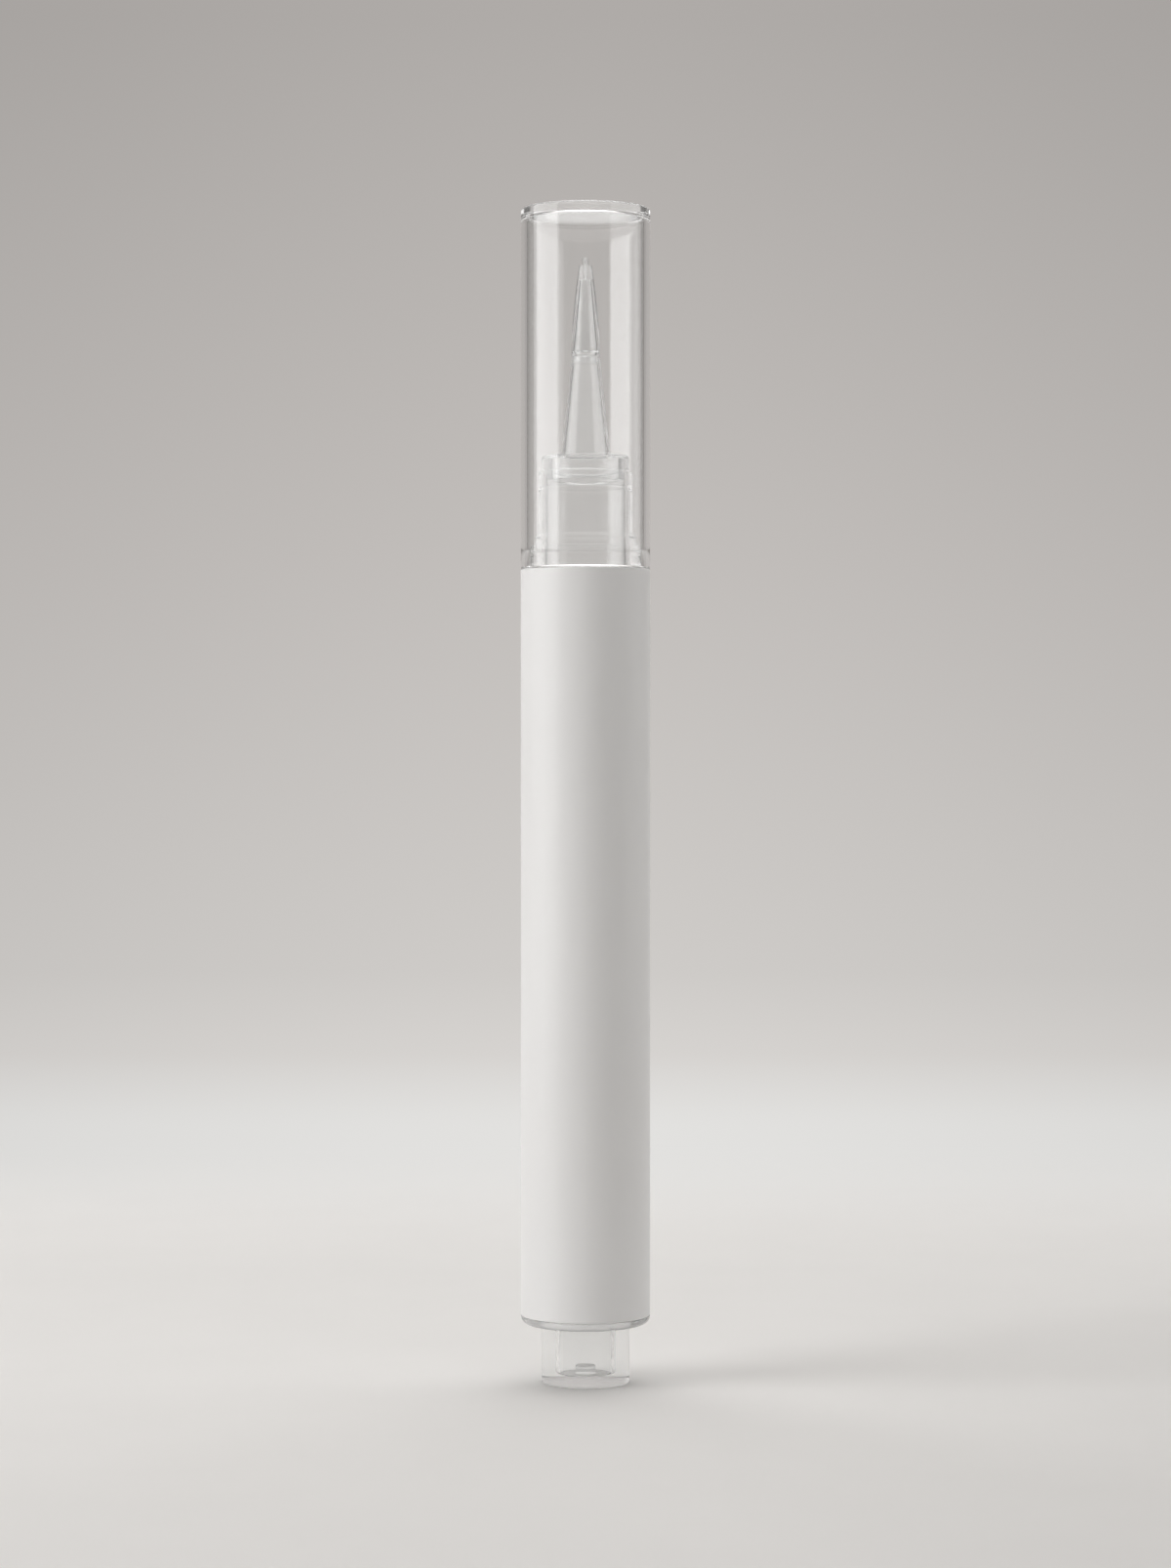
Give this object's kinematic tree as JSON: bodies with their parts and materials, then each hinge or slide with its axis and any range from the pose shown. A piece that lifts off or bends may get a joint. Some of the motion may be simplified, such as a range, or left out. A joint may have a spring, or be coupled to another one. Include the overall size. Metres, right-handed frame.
{
  "type": "nail remover pen",
  "caption": "Slim click pen that feeds remover fluid to a soft pointed tip, with a white barrel, a clear pull-off cap and a clear push button at the tail.",
  "frame": {"origin": "centre of the flat foot of the push button, which the pen stands on", "axes": "+Z along the pen's axis, from the button to the closed end of the cap; the pen is round, so X and Y are free"},
  "size_m": [0.013, 0.013, 0.118],
  "materials": {
    "clear_cap": "clear, polished",
    "clear_silicone": "clear, soft and slightly hazy",
    "clear_neck": "clear, slightly hazy",
    "clear_nozzle": "clear, a little hazier than the neck",
    "white_barrel": "white, satin",
    "natural_plastic": "natural, moulded",
    "slippery_plastic": "natural, smooth",
    "grey_rubber": "soft, matt",
    "spring_steel": "drawn wire",
    "clear_tail": "clear, polished",
    "hazy_tail": "clear, hazy"
  },
  "bodies": {
    "pen_body": {"barrel": "white_barrel", "neck": "clear_neck", "nozzle": "clear_nozzle", "applicator_tip": "clear_silicone", "thread_guide": "natural_plastic", "ratchet_housing": "natural_plastic", "return_spring": "spring_steel", "tail_plug": "hazy_tail"},
    "cap_body": {"cap": "clear_cap"},
    "button_body": {"push_button": "clear_tail"},
    "rotor_body": {"rotor": "slippery_plastic"},
    "piston_body": {"piston": "natural_plastic", "piston_seal": "grey_rubber"},
    "screw_body": {"lead_screw": "natural_plastic"}
  },
  "joints": [
    {"name": "cap_pull", "type": "slide", "parent": "pen_body", "child": "cap_body", "axis": [0, 0, 1], "range_m": [0, 0.04]},
    {"name": "button_press", "type": "slide", "parent": "pen_body", "child": "button_body", "axis": [0, 0, 1], "range_m": [0, 0.0024], "stiffness_N_per_m": 250, "springref_m": -0.004, "deforming": ["return_spring"]},
    {"name": "piston_feed", "type": "slide", "parent": "pen_body", "child": "piston_body", "axis": [0, 0, 1], "range_m": [0, 0.026]},
    {"name": "rotor_turn", "type": "hinge", "parent": "button_body", "child": "rotor_body", "pos_m": [0, 0, 0.0194], "axis": [0, 0, 1], "range_deg": [0, 3600]},
    {"name": "screw_turn", "type": "hinge", "parent": "piston_body", "child": "screw_body", "pos_m": [0, 0, 0.0464], "axis": [0, 0, 1], "range_deg": [0, 3600]}
  ],
  "couplings": [
    {"joint": "rotor_turn", "follows": "piston_feed", "rad_per_m": 2416.6},
    {"joint": "screw_turn", "follows": "piston_feed", "rad_per_m": 2416.6}
  ]
}
